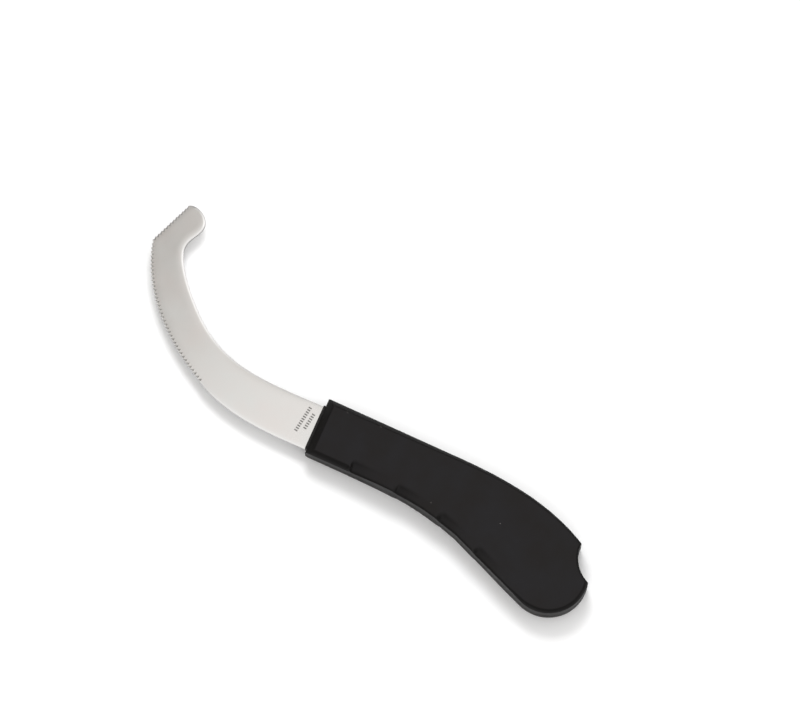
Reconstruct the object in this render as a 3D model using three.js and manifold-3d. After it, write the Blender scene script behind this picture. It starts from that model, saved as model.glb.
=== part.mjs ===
// One-handed rocker knife with a hook-shaped blade and a broad moulded handle, lying on its side.
// Units are millimetres. +X runs from the handle's mouth to its butt, +Y points to the side that the
// hook's tip turns to, and +Z goes up through the thickness. Plans are drawn from the middle of the
// handle's mouth, and the finished group is moved so that its origin is at the bottom centre of its box.

import * as THREE from 'three';
import { mergeVertices } from 'three/addons/utils/BufferGeometryUtils.js';
import Module from 'manifold-3d';

const wasm = await Module();
wasm.setup();

// Handle
const HANDLE_THICKNESS = 14;
const MID_HEIGHT = HANDLE_THICKNESS / 2;
const EDGE_CHAMFER = 1.4;
const MOUTH_CHAMFER = 3;
const WALL = 2.4;
const SKIN = 3.4; // over the flat faces, where the finger grooves are cut
const ROOTED = 0.3; // how far the ribs and bosses run into the walls and the skin
const CLEARANCE = 0.3; // between pieces that touch
const REACH = 150; // longer than the handle, for cutting blocks
const OVERRUN = 2; // how far a half's ribs and cuts start beyond the parting plane

// Handle plan: a nearly straight mouth end, a belly that drops to a round butt, and a notch in the butt
const BACK_MOUTH = [0, 12];
const BACK_STRAIGHT_END = [51.3, 11.05];
const BACK_BEND = [[68, 10.75], [90.2, 9.9]];
const UPPER_HORN = [109.1, -0.75];
const HORN_SHIFT = [-1, -0.8]; // of the upper horn for one unit of inset
const BELLY_MOUTH = [0, -10.45];
const BELLY_STRAIGHT_END = [25.3, -10.8];
const BELLY_BEND = [[47.3, -11.15], [55, -14.1]];
const BELLY_BEND_END_X = 64.3;
const BELLY_SLOPE = -0.41; // of the straight stretch before the butt
const BUTT_CENTRE = [102.35, -15.95];
const BUTT_RADIUS = 15.1;
const NOTCH_CENTRE = [122, -1.3];
const NOTCH_RADIUS = 12.9;

// Finger grooves: scoops in a row across the belly's two edges
const GROOVES = 4;
const GROOVE_START = 27.5; // along the belly, from the mouth to the middle of the first
const GROOVE_PITCH = 18.5;
const GROOVE_SIZE = [9.2, 4.6, 3.2]; // half sizes: along the edge, into the face, in depth
const GROOVE_RAISED = 1; // its centre beyond the handle's face

// Blade outline. Each bend is two control points and an end point.
const BLADE_THICKNESS = 1.5;
const SPINE_Y = 9.1;
const EDGE_Y = -8.8;
const EDGE_ROOT_BEND = [[-12.5, EDGE_Y], [-30.7, -9.2], [-44.7, -2.6]];
const HOOK_CORNER = [-86.3, 41.8];
const EDGE_HOOK_BEND = [[-71.6, 10.2], [-83.2, 28.2], HOOK_CORNER];
const NOSE_CORNER = [-79.2, 59.1];
const NOSE_TOP_BEND = [[-78.5, 59.7], [-77.8, 59.9], [-77, 59.9]];
const NOSE_SIDE_BEND = [[-73.8, 59.9], [-70.1, 57.2], [-70.1, 53.8]];
const NECK_BEND = [[-70.1, 50.2], [-73.6, 47.9], [-73.6, 43.9]];
const SPINE_HOOK_BEND = [[-73.6, 37.4], [-62.5, 26.4], [-57.8, 22.2]];
const SPINE_ROOT_BEND = [[-41.5, 7.6], [-24, SPINE_Y]];

// Teeth
const TOOTH_PITCH = 1.576;
const TOOTH_DEPTH = 0.75;
const TOOTH_ROOT = 0.35; // where its root lies along one pitch
const CURVE_TEETH = 38;
const FRONT_TEETH = 12;

// Tang
const TANG_Y = 0.15;
const TANG_HALF_WIDTH = 7;
const TANG_END_X = 76;
const TANG_CORNER = 3;

// Collar
const COLLAR_PROUD = 0.8; // past the handle's mouth
const COLLAR_DEPTH = 5;
const COLLAR_HEIGHT = 7;
const COLLAR_CORNER = 0.8;
const SHOULDER_X = -COLLAR_PROUD - CLEARANCE;

// Pins and a dowel between the shells, with the bosses and ribs around them
const PINS = { tang_pin_front: 14, tang_pin_middle: 40, tang_pin_rear: 66 };
const PIN_RADIUS = 2;
const PIN_LENGTH = 8;
const DOWEL_CENTRE = [97, -14.5];
const DOWEL_RADIUS = 2.5;
const BOSS_WALL = 2.4;
const RIB_STATIONS = [27, 53, 80, 90];
const RIB_THICKNESS = 1.6;

const ROUND_STEPS = 12;
const CORNER_STEPS = 4;

// A solid's whole range in Y.
const ACROSS = [-REACH, REACH];

function material(color, roughness, metalness) {
  return new THREE.MeshStandardMaterial({ color, roughness, metalness });
}

function point([x, y]) {
  return new THREE.Vector2(x, y);
}

// A three.js geometry as a manifold solid, with shared corners merged.
function solid(geometry) {
  const plain = geometry.clone();
  plain.deleteAttribute('normal');
  plain.deleteAttribute('uv');
  const merged = mergeVertices(plain, 1e-4);
  return new wasm.Manifold(new wasm.Mesh({
    numProp: 3,
    vertProperties: merged.attributes.position.array,
    triVerts: new Uint32Array(merged.index.array),
  }));
}

// A manifold solid as a named three.js mesh.
function mesh(name, shape, look) {
  const found = shape.getMesh();
  const geometry = new THREE.BufferGeometry();
  geometry.setAttribute('position', new THREE.BufferAttribute(found.vertProperties, found.numProp));
  geometry.setIndex(new THREE.BufferAttribute(found.triVerts, 1));
  geometry.computeVertexNormals();
  const piece = new THREE.Mesh(geometry, look);
  piece.name = name;
  return piece;
}

// A block between two values of each axis, given in either order.
function block(x, y, z) {
  const size = [x, y, z].map(([from, to]) => Math.abs(to - from));
  const middle = [x, y, z].map(([from, to]) => (from + to) / 2);
  const geometry = new THREE.BoxGeometry(...size);
  geometry.translate(...middle);
  return solid(geometry);
}

// A plan extruded between two heights, given in either order.
function slab(plan, heights) {
  const low = Math.min(...heights);
  const geometry = new THREE.ExtrudeGeometry(plan, {
    depth: Math.max(...heights) - low,
    bevelEnabled: false,
    curveSegments: ROUND_STEPS,
  });
  geometry.translate(0, 0, low);
  return solid(geometry);
}

// An upright cylinder between two heights, given in either order.
function post([x, y], radius, heights) {
  const [from, to] = heights;
  const geometry = new THREE.CylinderGeometry(radius, radius, Math.abs(to - from), 2 * ROUND_STEPS);
  geometry.rotateX(Math.PI / 2);
  geometry.translate(x, y, (from + to) / 2);
  return solid(geometry);
}

function arc([x, y], radius, from, to, clockwise) {
  return new THREE.EllipseCurve(x, y, radius, radius, from, to, clockwise);
}

// The angle at which a circle passes a point.
function angleTo(centre, place) {
  return Math.atan2(place[1] - centre[1], place[0] - centre[0]);
}

// Where two circles cross, on the right of the line from the first centre to the second.
function circlesMeet(a, radiusA, b, radiusB) {
  const apart = Math.hypot(b[0] - a[0], b[1] - a[1]);
  const along = (apart ** 2 + radiusA ** 2 - radiusB ** 2) / (2 * apart);
  const aside = Math.sqrt(radiusA ** 2 - along ** 2);
  const unit = [(b[0] - a[0]) / apart, (b[1] - a[1]) / apart];
  return [a[0] + along * unit[0] + aside * unit[1], a[1] + along * unit[1] - aside * unit[0]];
}

// The handle's lower edge from the mouth to the round butt, drawn in by an inset.
function belly(inset) {
  const raised = ([x, y]) => new THREE.Vector2(x, y + inset);
  const tilt = Math.atan(BELLY_SLOPE);
  const radius = BUTT_RADIUS - inset;
  const end = new THREE.Vector2(
    BUTT_CENTRE[0] + radius * Math.sin(tilt),
    BUTT_CENTRE[1] - radius * Math.cos(tilt),
  );
  const bendEnd = new THREE.Vector2(BELLY_BEND_END_X, end.y + BELLY_SLOPE * (BELLY_BEND_END_X - end.x));
  const mouth = raised(BELLY_MOUTH).add(new THREE.Vector2(inset, 0));
  const straightEnd = raised(BELLY_STRAIGHT_END);
  const path = new THREE.CurvePath();
  path.add(new THREE.LineCurve(mouth, straightEnd));
  path.add(new THREE.CubicBezierCurve(straightEnd, ...BELLY_BEND.map(raised), bendEnd));
  path.add(new THREE.LineCurve(bendEnd, end));
  return path;
}

// The handle seen from above, drawn in by an inset on every side.
function handlePlan(inset) {
  const lowered = ([x, y]) => new THREE.Vector2(x, y - inset);
  const butt = BUTT_RADIUS - inset;
  const notch = NOTCH_RADIUS + inset;
  const buttStart = Math.atan(BELLY_SLOPE) - Math.PI / 2;
  const lowerHorn = circlesMeet(BUTT_CENTRE, butt, NOTCH_CENTRE, notch);
  const upperHorn = UPPER_HORN.map((value, axis) => value + HORN_SHIFT[axis] * inset);
  const notchEnds = [lowerHorn, upperHorn].map((horn) => angleTo(NOTCH_CENTRE, horn));

  const buttArc = arc(BUTT_CENTRE, butt, buttStart, angleTo(BUTT_CENTRE, lowerHorn), false);
  const notchArc = arc(NOTCH_CENTRE, notch, ...notchEnds, true);
  const [nearMouth, nearHorn] = BACK_BEND.map(lowered);
  const straightEnd = lowered(BACK_STRAIGHT_END);
  const mouth = lowered(BACK_MOUTH).add(new THREE.Vector2(inset, 0));

  const plan = new THREE.Shape();
  plan.curves.push(
    ...belly(inset).curves,
    buttArc,
    notchArc,
    new THREE.CubicBezierCurve(notchArc.getPoint(1), nearHorn, nearMouth, straightEnd),
    new THREE.LineCurve(straightEnd, mouth),
  );
  plan.closePath();
  return plan;
}

// One finger groove, which leaves the middle of the side wall whole.
function groove(index, height) {
  const path = belly(0);
  const share = (GROOVE_START + index * GROOVE_PITCH) / path.getLength();
  const place = path.getPointAt(share);
  const geometry = new THREE.SphereGeometry(1, 2 * ROUND_STEPS, ROUND_STEPS);
  geometry.scale(...GROOVE_SIZE);
  geometry.rotateZ(path.getTangentAt(share).angle());
  geometry.translate(place.x, place.y, height);
  return solid(geometry);
}

// The wedge that chamfers the handle's mouth on one face.
function mouthWedge(face) {
  const side = MOUTH_CHAMFER * Math.SQRT2;
  const geometry = new THREE.BoxGeometry(side, 2 * REACH, side);
  geometry.rotateY(Math.PI / 4);
  geometry.translate(0, 0, face);
  return solid(geometry);
}

// The outside form of the whole handle, which the two shells share.
function handleForm() {
  const geometry = new THREE.ExtrudeGeometry(handlePlan(EDGE_CHAMFER), {
    depth: HANDLE_THICKNESS - 2 * EDGE_CHAMFER,
    bevelThickness: EDGE_CHAMFER,
    bevelSize: EDGE_CHAMFER,
    bevelSegments: 1,
    curveSegments: ROUND_STEPS,
  });
  geometry.translate(0, 0, EDGE_CHAMFER);
  let form = solid(geometry);
  for (const side of [-1, 1]) {
    const face = MID_HEIGHT + side * MID_HEIGHT;
    form = form.subtract(mouthWedge(face));
    for (let index = 0; index < GROOVES; index += 1) {
      form = form.subtract(groove(index, face + side * GROOVE_RAISED));
    }
  }
  return form;
}

// The cross ribs and bosses inside one half, before they are trimmed to root in its walls.
function stiffeners(heights) {
  const pinStations = Object.values(PINS);
  const ribs = [...pinStations, ...RIB_STATIONS].map((x) =>
    block([x - RIB_THICKNESS / 2, x + RIB_THICKNESS / 2], ACROSS, heights),
  );
  const bosses = pinStations.map((x) => post([x, TANG_Y], PIN_RADIUS + BOSS_WALL, heights));
  bosses.push(post(DOWEL_CENTRE, DOWEL_RADIUS + BOSS_WALL, heights));
  return wasm.Manifold.union([...ribs, ...bosses]);
}

// The spaces in one half for the tang, the collar, the pins and the dowel.
function pockets(side) {
  const deep = (depth) => [MID_HEIGHT - side * OVERRUN, MID_HEIGHT + side * (depth + CLEARANCE)];
  const tangHalf = TANG_HALF_WIDTH + CLEARANCE;
  const tang = block(
    [-REACH, TANG_END_X + CLEARANCE],
    [TANG_Y - tangHalf, TANG_Y + tangHalf],
    deep(BLADE_THICKNESS / 2),
  );
  const mouth = block(
    [-REACH, COLLAR_DEPTH + CLEARANCE],
    [EDGE_Y - CLEARANCE, SPINE_Y + CLEARANCE],
    deep(COLLAR_HEIGHT / 2),
  );
  const sockets = Object.values(PINS).map((x) =>
    post([x, TANG_Y], PIN_RADIUS + CLEARANCE, deep(PIN_LENGTH / 2)),
  );
  const dowelSocket = post(DOWEL_CENTRE, DOWEL_RADIUS + CLEARANCE, deep(PIN_LENGTH / 2));
  return wasm.Manifold.union([tang, mouth, ...sockets, dowelSocket]);
}

// One half of the handle, cut off at the parting plane last. Side is -1 for the lower half, 1 for the upper.
function shell(form, side) {
  const at = (distance) => MID_HEIGHT + side * distance;
  const hollow = slab(handlePlan(WALL), [at(-OVERRUN), at(MID_HEIGHT - SKIN)]);
  const rooted = slab(handlePlan(WALL - ROOTED), [at(-OVERRUN), at(MID_HEIGHT - SKIN + ROOTED)]);
  const inside = stiffeners([at(-OVERRUN), at(HANDLE_THICKNESS)]).intersect(rooted);
  const half = block([-REACH, REACH], ACROSS, [at(CLEARANCE / 2), at(HANDLE_THICKNESS)]);
  return form.subtract(hollow).add(inside).subtract(pockets(side)).intersect(half);
}

// The convex cutting edge from the collar to the hook's corner.
function convexEdge() {
  const [rootHandle, rootAim, middle] = EDGE_ROOT_BEND.map(point);
  const path = new THREE.CurvePath();
  path.add(new THREE.CubicBezierCurve(point([SHOULDER_X, EDGE_Y]), rootHandle, rootAim, middle));
  path.add(new THREE.CubicBezierCurve(middle, ...EDGE_HOOK_BEND.map(point)));
  return path;
}

// Adds one tooth to a plan: down to its root, then out to its tip.
function addTooth(plan, from, to) {
  const along = to.clone().sub(from);
  const inward = new THREE.Vector2(along.y, -along.x).normalize();
  const root = from.clone().addScaledVector(along, TOOTH_ROOT).addScaledVector(inward, TOOTH_DEPTH);
  plan.lineTo(root.x, root.y);
  plan.lineTo(to.x, to.y);
}

// The tang, with the shoulder on the cutting side at its end.
function addTang(plan) {
  const low = TANG_Y - TANG_HALF_WIDTH;
  const high = TANG_Y + TANG_HALF_WIDTH;
  plan.moveTo(SHOULDER_X, high);
  plan.lineTo(TANG_END_X - TANG_CORNER, high);
  plan.lineTo(TANG_END_X, high - TANG_CORNER);
  plan.lineTo(TANG_END_X, low + TANG_CORNER);
  plan.lineTo(TANG_END_X - TANG_CORNER, low);
  plan.lineTo(SHOULDER_X, low);
}

// The cutting edges: plain by the handle, then toothed round the bend and across the front.
function addEdges(plan) {
  const edge = convexEdge();
  const length = edge.getLength();
  const plain = length - CURVE_TEETH * TOOTH_PITCH;
  for (let step = 0; step <= ROUND_STEPS; step += 1) {
    const place = edge.getPointAt((plain / length) * (step / ROUND_STEPS));
    plan.lineTo(place.x, place.y);
  }
  const tip = (tooth) => edge.getPointAt(Math.min(1, (plain + TOOTH_PITCH * tooth) / length));
  for (let tooth = 0; tooth < CURVE_TEETH; tooth += 1) {
    addTooth(plan, tip(tooth), tip(tooth + 1));
  }
  const front = new THREE.LineCurve(point(HOOK_CORNER), point(NOSE_CORNER));
  for (let tooth = 0; tooth < FRONT_TEETH; tooth += 1) {
    addTooth(plan, front.getPoint(tooth / FRONT_TEETH), front.getPoint((tooth + 1) / FRONT_TEETH));
  }
}

function bladePlan() {
  const plan = new THREE.Shape();
  addTang(plan);
  addEdges(plan);
  for (const bend of [NOSE_TOP_BEND, NOSE_SIDE_BEND, NECK_BEND, SPINE_HOOK_BEND]) {
    plan.bezierCurveTo(...bend.flat());
  }
  plan.bezierCurveTo(...SPINE_ROOT_BEND.flat(), SHOULDER_X, SPINE_Y);
  plan.closePath();
  return plan;
}

// The blade and its tang, one stamping with a hole for each pin.
function blade() {
  const half = BLADE_THICKNESS / 2;
  const holes = Object.values(PINS).map((x) =>
    post([x, TANG_Y], PIN_RADIUS + CLEARANCE, [0, HANDLE_THICKNESS]),
  );
  const plate = slab(bladePlan(), [MID_HEIGHT - half, MID_HEIGHT + half]);
  return plate.subtract(wasm.Manifold.union(holes));
}

// The collar's outline across the blade, with rounded corners.
function collarSection() {
  const round = COLLAR_CORNER;
  const [left, right] = [EDGE_Y + round, SPINE_Y - round];
  const bottom = MID_HEIGHT - COLLAR_HEIGHT / 2 + round;
  const top = MID_HEIGHT + COLLAR_HEIGHT / 2 - round;
  const quarter = Math.PI / 2;
  const section = new THREE.Shape();
  section.absarc(right, bottom, round, -quarter, 0, false);
  section.absarc(right, top, round, 0, quarter, false);
  section.absarc(left, top, round, quarter, 2 * quarter, false);
  section.absarc(left, bottom, round, 2 * quarter, 3 * quarter, false);
  section.closePath();
  return section;
}

// A block that closes the handle's mouth around the tang. The blade's shoulders sit against it.
function collar() {
  const geometry = new THREE.ExtrudeGeometry(collarSection(), {
    depth: COLLAR_PROUD + COLLAR_DEPTH,
    bevelEnabled: false,
    curveSegments: CORNER_STEPS,
  });
  // The section's x and y become +Y and +Z, and its depth runs along +X.
  const turn = new THREE.Matrix4().makeBasis(
    new THREE.Vector3(0, 1, 0),
    new THREE.Vector3(0, 0, 1),
    new THREE.Vector3(1, 0, 0),
  );
  geometry.applyMatrix4(turn);
  geometry.translate(-COLLAR_PROUD, 0, 0);
  const slotWidth = TANG_HALF_WIDTH + CLEARANCE;
  const slotHeight = BLADE_THICKNESS / 2 + CLEARANCE;
  const slot = block(
    [-REACH, REACH],
    [TANG_Y - slotWidth, TANG_Y + slotWidth],
    [MID_HEIGHT - slotHeight, MID_HEIGHT + slotHeight],
  );
  return solid(geometry).subtract(slot);
}

function build() {
  const bladeSteel = material(0xc9c8c4, 0.28, 1);
  const pinSteel = material(0x9a9a98, 0.4, 1);
  const plastic = material(0x242427, 0.62, 0);
  const trim = material(0x151516, 0.5, 0);
  const pinHeights = [MID_HEIGHT - PIN_LENGTH / 2, MID_HEIGHT + PIN_LENGTH / 2];
  const form = handleForm();

  const knife = new THREE.Group();
  knife.add(mesh('blade', blade(), bladeSteel));
  knife.add(mesh('blade_collar', collar(), trim));
  knife.add(mesh('handle_shell_lower', shell(form, -1), plastic));
  knife.add(mesh('handle_shell_upper', shell(form, 1), plastic.clone()));
  for (const [name, x] of Object.entries(PINS)) {
    knife.add(mesh(name, post([x, TANG_Y], PIN_RADIUS, pinHeights), pinSteel.clone()));
  }
  knife.add(mesh('shell_dowel_rear', post(DOWEL_CENTRE, DOWEL_RADIUS, pinHeights), plastic.clone()));

  const bounds = new THREE.Box3().setFromObject(knife);
  const centre = bounds.getCenter(new THREE.Vector3());
  knife.position.set(-centre.x, -centre.y, -bounds.min.z);
  return knife;
}

export default build();
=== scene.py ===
"""The looks of a one-handed rocker knife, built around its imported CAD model.

Plans are drawn in millimetres from the middle of the handle's mouth, with heights measured from the
parting plane, as the CAD model's are. Every mesh is moved into the row frame, in metres, when it is made.
"""

import math
from collections import namedtuple

import bmesh
import bpy
import numpy as np
from mathutils import Matrix, Vector

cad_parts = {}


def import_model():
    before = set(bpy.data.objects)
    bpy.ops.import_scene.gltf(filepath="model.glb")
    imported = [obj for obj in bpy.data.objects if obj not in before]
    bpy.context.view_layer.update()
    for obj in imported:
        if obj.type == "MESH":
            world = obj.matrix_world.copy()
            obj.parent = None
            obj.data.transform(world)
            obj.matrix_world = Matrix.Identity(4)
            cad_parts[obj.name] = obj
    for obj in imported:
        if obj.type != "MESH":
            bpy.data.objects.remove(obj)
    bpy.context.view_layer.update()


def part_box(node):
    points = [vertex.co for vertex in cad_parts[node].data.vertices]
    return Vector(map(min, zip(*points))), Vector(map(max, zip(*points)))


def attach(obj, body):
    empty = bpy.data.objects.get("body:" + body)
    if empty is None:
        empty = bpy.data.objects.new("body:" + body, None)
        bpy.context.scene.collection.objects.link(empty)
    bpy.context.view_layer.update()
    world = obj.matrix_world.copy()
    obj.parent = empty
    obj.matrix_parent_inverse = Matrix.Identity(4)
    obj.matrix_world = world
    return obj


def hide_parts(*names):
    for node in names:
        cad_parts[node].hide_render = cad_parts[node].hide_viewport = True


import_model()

MM = 0.001

# Handle
HANDLE_HALF = 7.0
WALL = 2.4
SKIN = 3.4
BACK_MOUTH = (0.0, 12.0)
BACK_STRAIGHT_END = (51.3, 11.05)
BACK_BEND = ((68.0, 10.75), (90.2, 9.9))
UPPER_HORN = (109.1, -0.75)
BELLY_MOUTH = (0.0, -10.45)
BELLY_STRAIGHT_END = (25.3, -10.8)
BELLY_BEND = ((47.3, -11.15), (55.0, -14.1))
BELLY_BEND_END_X = 64.3
BELLY_SLOPE = -0.41
BUTT_CENTRE = (102.35, -15.95)
BUTT_RADIUS = 15.1
NOTCH_CENTRE = (122.0, -1.3)
NOTCH_RADIUS = 12.9

# Edges of the handle: chamfer widths at distances along each stretch of the outline
BELLY_CHAMFER = ((0, 1.9), (17.4, 1.9), (18.6, 0.5), (92, 0.5), (104, 1.3))
NOTCH_CHAMFER = ((0, 0.7),)
BACK_CHAMFER = ((0, 0.75), (20, 1.1), (40, 1.3), (65, 1.7), (100, 2.1))
MOUTH_CHAMFER = ((0, 3.0),)
EDGE_ROUNDING = 0.4  # where a chamfer meets the face
CORNER_SHARE = 0.5  # of a chamfer's width, rounded where it meets the side
CORNER_LIMIT = 0.8  # largest radius of that rounding
# Rings on that rounding: inset and rise, as shares of its radius
CORNER_ROWS = ((0.08, -0.55), (0.3, -0.12), (0.65, 0.47))
# Rings on the chamfer: inset as a share of its width, and what is added to it
CHAMFER_ROWS = ((0.5, 0), (0.7, 0), (0.86, 0), (1, 0), (1, 0.2), (1, 0.4))
SEAM_DEPTH = 0.14
SEAM_HEIGHT = 0.22
SEAM_GAP = 0.03  # from the parting plane to each shell

# Finger scoops along the belly: where each begins, how far it reaches into the panel, its depth,
# and the length of its steep front
SCOOPS = (
    (17.6, 4.6, 2.0, 1.4),
    (35.8, 3.8, 2.0, 2.9),
    (54.8, 3.8, 1.9, 2.9),
    (73.4, 3.6, 1.8, 2.9),
)
SCOOP_END = 93.0
SCOOP_FADE = 1.15  # power of each one's fall towards the butt
SCOOP_ROLL = 0.72  # and towards the panel
SCOOP_ROWS = 7  # rings across the scoops
SCOOP_ROW_STEPS = ((8, 0.1), (17, 0.75), (88, 0.75), (104, 0.1))  # between them, along the belly
PLAIN_ROW_STEP = 0.1  # between them, along the other stretches

# Blade
BLADE_HALF = 0.75
SHOULDER_X = -0.85
SPINE_Y = 9.1
EDGE_Y = -8.8
EDGE_ROOT_BEND = ((-12.5, EDGE_Y), (-30.7, -9.2), (-44.7, -2.6))
HOOK_CORNER = (-86.3, 41.8)
EDGE_HOOK_BEND = ((-71.6, 10.2), (-83.2, 28.2), HOOK_CORNER)
NOSE_CORNER = (-79.2, 59.1)
NOSE_TOP_BEND = ((-78.5, 59.7), (-77.8, 59.9), (-77.0, 59.9))
NOSE_SIDE_BEND = ((-73.8, 59.9), (-70.1, 57.2), (-70.1, 53.8))
NECK_BEND = ((-70.1, 50.2), (-73.6, 47.9), (-73.6, 43.9))
SPINE_HOOK_BEND = ((-73.6, 37.4), (-62.5, 26.4), (-57.8, 22.2))
SPINE_ROOT_BEND = ((-41.5, 7.6), (-24.0, SPINE_Y), (SHOULDER_X, SPINE_Y))

# Ground edges and teeth: the upper face rolls off softly, and the edge is ground from below
EDGE_ROLL_WIDTH = 3.3  # of the roll-off along the convex edge
FRONT_ROLL_WIDTH = 2.2  # and along the front edge
EDGE_DROP = 0.14  # how far both of them drop
SPINE_ROLL_WIDTH = 3.2
SPINE_DROP = 0.15
FRONT_ROLL_CHANGE = 6.0  # along the convex edge, from the front's form to its own
EDGE_LAND = 0.08  # thickness left at the very edge
GRIND_RISE = 1.25  # from the blade's lower face to the very edge
# Rings on the cutting side, past the strip, as shares of the roll-off's width, and all on the spine's
ROW_PARTS = (0.5, 0.65, 0.8, 0.95, 1.1)
SPINE_ROWS = (0.0, 0.05, 0.17, 0.36, 1.1, 2.1, 3.3)
SPINE_CORNER = 0.35  # radius of its corner
ROOT_STEP = 0.03  # between rings at the shoulders
NOSE_FADE = 3.0  # along the nose, from the toothed edge's form to the spine's
TOOTH_PITCH = 1.576
TOOTH_DEPTH = 0.5  # of a full gullet's mouth, seen from above
GULLET_REACH = 1.3  # from the edge's strip to the inner end of its sloping floor
GULLET_DIP = 0.31  # how far its mouth lies below the cutting edge
FRONT_TEETH_SHARE = 0.72  # size of the front edge's gullets next to the others'
TOOTH_ROOT = 0.35  # share of a tooth's pitch that its steep side takes
EDGE_STRIP = 0.12  # from a tooth's tip to the crease where its gullet's floor meets the face
CURVE_TEETH = 38
FRONT_TEETH = 12
TOOTH_STEPS = 8  # points along each tooth

# Tang, collar, pins and dowel
TANG_Y = 0.15
TANG_HALF_WIDTH = 7.0
TANG_HALF = 0.73
TANG_END_X = 76.0
TANG_CORNER = 3.0
TANG_OVERLAP = 1.0  # how far it reaches into the blade
COLLAR_PROUD = 0.8
COLLAR_DEPTH = 5.0
COLLAR_HALF = 3.5
COLLAR_CORNER = 0.6  # radius of the corners of its section
COLLAR_CORNER_POINTS = 7
COLLAR_EDGE = 0.22  # size of the softened edge round each end
COLLAR_EDGE_ROWS = ((0.0, 1.0), (0.3, 0.3), (1.0, 0.0))  # its rings, in shares: along, and drawn in
PINS = {"tang_pin_front": 14.0, "tang_pin_middle": 40.0, "tang_pin_rear": 66.0}
PIN_RADIUS = 2.0
PIN_HALF = 4.0
PIN_CHAMFER = 0.35
DOWEL_CENTRE = (97.0, -14.5)
DOWEL_RADIUS = 2.5
BOSS_WALL = 2.4
RIB_STATIONS = (27.0, 53.0, 80.0, 90.0)
RIB_THICKNESS = 1.6
CLEARANCE = 0.3
TIGHT = 0.08  # clearance where a gap would show
ROOTED = 0.3  # how far a boss reaches into the skin
PAST_PLANE = 1.0  # how far a pocket's cut runs past the parting plane
PAST_TANG = 2.0  # reach of a hole's cut on each side of the parting plane

STEP = 0.3  # spacing of the points along an outline
BEND_SPARE = 4  # points added to a bend, which is longer than its chord
ARC_SPARE = 2
CORNER_REACH = 4.0  # run added to a stretch's ends, for its corners to be found
PARALLEL = 1e-12  # cross product below which two lines don't cross
SLACK = 1e-6  # past a line's ends, in points
ROUND_STEPS = 48
REACH = 150.0  # past the knife's ends
MOULDING_SHARP = 35  # degrees from which an edge stays sharp
BLADE_SHARP = 20

# The etched mark: the middle of each row of strokes, and how many it has
MARK_ROWS = (((-6.1, 1.5), 11), ((-3.6, 1.6), 7))
MARK_TURN = math.radians(-8.7)
STROKE_PITCH = 1.0
STROKE_SHARE = 0.55  # of the pitch that a stroke fills
STROKE_HALF = 0.65  # of its height

# Looks: sizes in millimetres, angles in radians, and colours with their alpha
NOISE_LOW, NOISE_HIGH = 0.3, 0.7  # where most of a noise's values lie
CONVEX = (0.52, 0.62)  # pointiness of an edge that starts to be rubbed and given a painted highlight, and of one that fully is

# Moulded plastic
PANEL_DARK = (0.0100, 0.0088, 0.0086, 1)
PANEL_LIGHT = (0.0126, 0.0121, 0.0133, 1)
PANEL_ROUGHNESS = 0.52
PANEL_GRAIN = 0.03
TRIM_DARK = (0.008, 0.008, 0.008, 1)
TRIM_LIGHT = (0.011, 0.011, 0.011, 1)
TRIM_ROUGHNESS = 0.42
TRIM_GRAIN = 0.01
PLASTIC_SPECULAR = 0.12
# Painted shade: steep sides and chamfers of the mouldings get a blacker colour than their flat faces
SHADED_SIDE_ANGLES = (math.radians(8), math.radians(32))
PAINTED_SHADE_PLASTIC = (0.005, 0.0046, 0.0045, 1)
MOTTLE_SIZE, MOTTLE_DETAIL = 9.0, 4.0
MOTTLE_ROUGHNESS = (-0.04, 0.05)
# Convex edges lighter: partly rubbing wear, partly a painted highlight, broken up by noise
RUB_AND_HIGHLIGHT_SIZE = 1.2
RUB_AND_HIGHLIGHT_SHARES = (0.1, 0.9)
RUBBED_AND_HIGHLIT_PLASTIC = (0.04, 0.038, 0.036, 1)
SPECK_SPACING = 4.5
SPECK_RADIUS = 0.03  # as a share of that spacing
SPECK_RARITY = 0.9  # share of the places that stay clean
SPECK_DUST = (0.25, 0.24, 0.23, 1)
GRAIN_SIZE, GRAIN_DETAIL = 0.22, 2.0
GRAIN_ROUGHNESS = (-0.03, 0.03)
GRAIN_STRENGTH = 0.5
WAVE_SIZE, WAVE_DETAIL = 14.0, 1.0
WAVE_HEIGHT, WAVE_STRENGTH = 0.12, 0.35

# Blade steel
LINE_SIZE, LINE_DETAIL = 0.25, 2.0
LINE_STRETCH = (1, 0.03, 1)
LINE_TURN = math.radians(25)
LINE_ROUGHNESS = (-0.01, 0.01)
LINE_HEIGHT, LINE_STRENGTH = 0.001, 0.2
CLOUD_SIZE = 16.0
CLOUD_DARK = (0.545, 0.539, 0.528, 1)
CLOUD_LIGHT = (0.575, 0.570, 0.560, 1)
CLOUD_ROUGHNESS = (0.19, 0.25)
CLOUD_HEIGHT, CLOUD_STRENGTH = 0.1, 0.15
TINT_SIZE = 11.0
WARM_TINT = (1.0, 0.972, 0.962, 1)
COOL_TINT = (0.985, 0.992, 0.99, 1)
# Painted light: faces of the roll-offs tilted a few degrees get a lighter steel colour than the flat
LIT_ROLL_ANGLES = (math.radians(3), math.radians(9))
ROLLED_STEEL_PAINTED_LIGHT = (0.59, 0.587, 0.58, 1)
# Painted light and shade: the ground faces get a lighter steel, and the front edge's gullets a much darker
# one
GROUND_ANGLES = (math.radians(18), math.radians(34))
GROUND_STEEL_PAINTED_LIGHT = (0.7, 0.692, 0.678, 1)
GROUND_STEEL_PAINTED_SHADE = (0.28, 0.276, 0.27, 1)
GROUND_ROUGHNESS = 0.12
ETCHED_STEEL = (0.17, 0.165, 0.16, 1)
ETCH_SHARE = 0.9
ETCH_ROUGHNESS = 0.2

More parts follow.
